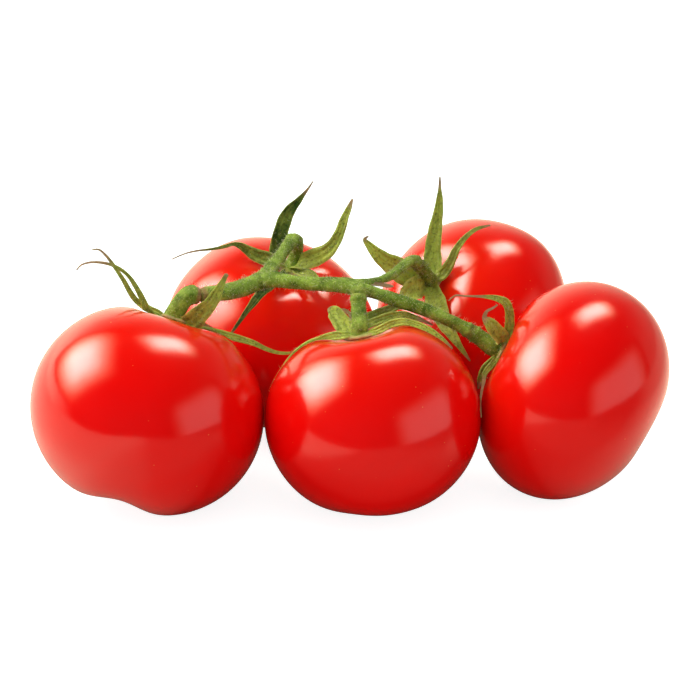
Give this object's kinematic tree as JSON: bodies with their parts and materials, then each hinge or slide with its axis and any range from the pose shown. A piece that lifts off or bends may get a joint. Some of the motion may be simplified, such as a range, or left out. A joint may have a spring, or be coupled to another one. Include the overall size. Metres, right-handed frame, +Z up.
{
  "type": "truss of tomatoes",
  "caption": "Truss of ripe tomatoes lying on a table, joined by their green vine, each with a leafy calyx on a short jointed stalk.",
  "frame": {"origin": "on the table, under the centre of the truss's bounding box", "axes": "+X along the row of fruits, to the right in the picture; +Y away from the camera; +Z up"},
  "size_m": [0.1952, 0.1396, 0.0813],
  "materials": {
    "tomato_skin": "glossy ripe tomato skin, red",
    "calyx_green": "fine-haired green sepals and stalks with dry brown tips",
    "vine_green": "fine-haired green vine"
  },
  "bodies": {
    "root": {"tomato_left": "tomato_skin", "tomato_middle": "tomato_skin", "tomato_right": "tomato_skin", "tomato_back_left": "tomato_skin", "tomato_back_right": "tomato_skin", "calyx_left": "calyx_green", "calyx_middle": "calyx_green", "calyx_right": "calyx_green", "calyx_back_left": "calyx_green", "calyx_back_right": "calyx_green", "vine": "vine_green"}
  },
  "joints": []
}
